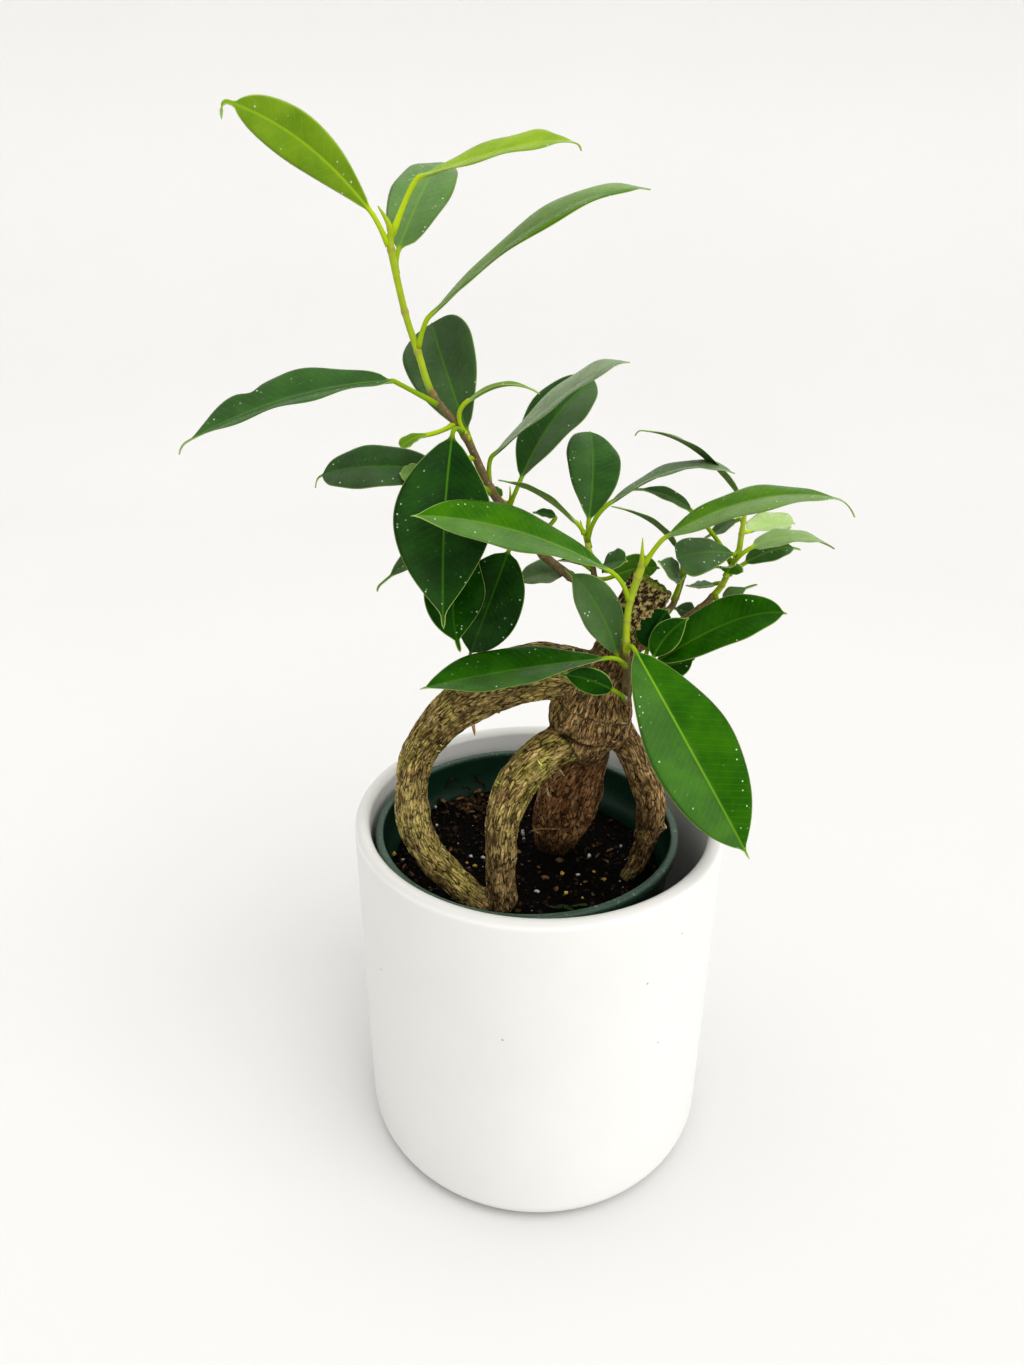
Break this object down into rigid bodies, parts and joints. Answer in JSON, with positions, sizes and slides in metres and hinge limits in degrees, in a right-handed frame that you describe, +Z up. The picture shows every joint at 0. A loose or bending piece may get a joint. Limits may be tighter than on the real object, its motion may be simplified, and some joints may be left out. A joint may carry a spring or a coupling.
{
  "type": "potted ginseng ficus",
  "caption": "Small ginseng ficus with a swollen root, arching aerial roots and glossy pointed leaves, in a nursery pot inside a straight white ceramic pot.",
  "frame": {"origin": "centre of the ceramic pot's flat underside", "axes": "+Z up along the ceramic pot's axis, +X to the right and -Y towards the viewer in the view that shows the arching root on the left"},
  "size_m": [0.1887, 0.127, 0.3381],
  "materials": {
    "white_glaze": "glossy white glaze",
    "green_plastic": "satin moulded polypropylene",
    "potting_mix": "crumbly peat and bark with perlite",
    "root_bark": "thin grey-brown living bark",
    "woody_stem": "young brown bark",
    "green_stem": "smooth green stem",
    "leaf": "glossy leathery leaf",
    "young_leaf": "glossy soft young leaf"
  },
  "bodies": {
    "root": {"cachepot": "white_glaze", "far_right_leaf_1": "leaf", "far_right_leaf_10": "young_leaf", "far_right_leaf_11": "leaf", "far_right_leaf_2": "leaf", "far_right_leaf_3": "leaf", "far_right_leaf_4": "young_leaf", "far_right_leaf_5": "young_leaf", "far_right_leaf_6": "leaf", "far_right_leaf_7": "leaf", "far_right_leaf_8": "young_leaf", "far_right_leaf_9": "leaf", "far_right_shoot": "woody_stem", "front_leaf_1": "young_leaf", "front_leaf_2": "young_leaf", "front_leaf_3": "leaf", "front_leaf_4": "leaf", "front_leaf_5": "leaf", "front_leaf_6": "leaf", "front_shoot": "green_stem", "low_right_leaf_1": "leaf", "low_right_leaf_2": "leaf", "low_right_leaf_3": "leaf", "low_right_leaf_4": "leaf", "low_right_shoot": "woody_stem", "middle_leaf_1": "leaf", "middle_leaf_2": "leaf", "middle_leaf_3": "young_leaf", "middle_leaf_4": "leaf", "middle_leaf_5": "leaf", "middle_leaf_6": "young_leaf", "middle_shoot": "green_stem", "near_right_leaf_1": "leaf", "near_right_leaf_2": "young_leaf", "near_right_leaf_3": "leaf", "near_right_shoot": "woody_stem", "nursery_pot": "green_plastic", "potting_mix": "potting_mix", "rootstock": "root_bark", "side_leaf_1": "leaf", "side_leaf_2": "young_leaf", "side_shoot": "green_stem", "tall_leaf_1": "young_leaf", "tall_leaf_10": "young_leaf", "tall_leaf_11": "leaf", "tall_leaf_12": "leaf", "tall_leaf_13": "leaf", "tall_leaf_14": "leaf", "tall_leaf_15": "leaf", "tall_leaf_16": "leaf", "tall_leaf_17": "leaf", "tall_leaf_2": "young_leaf", "tall_leaf_3": "leaf", "tall_leaf_4": "young_leaf", "tall_leaf_5": "leaf", "tall_leaf_6": "leaf", "tall_leaf_7": "young_leaf", "tall_leaf_8": "young_leaf", "tall_leaf_9": "leaf", "tall_shoot": "woody_stem"}
  },
  "joints": []
}
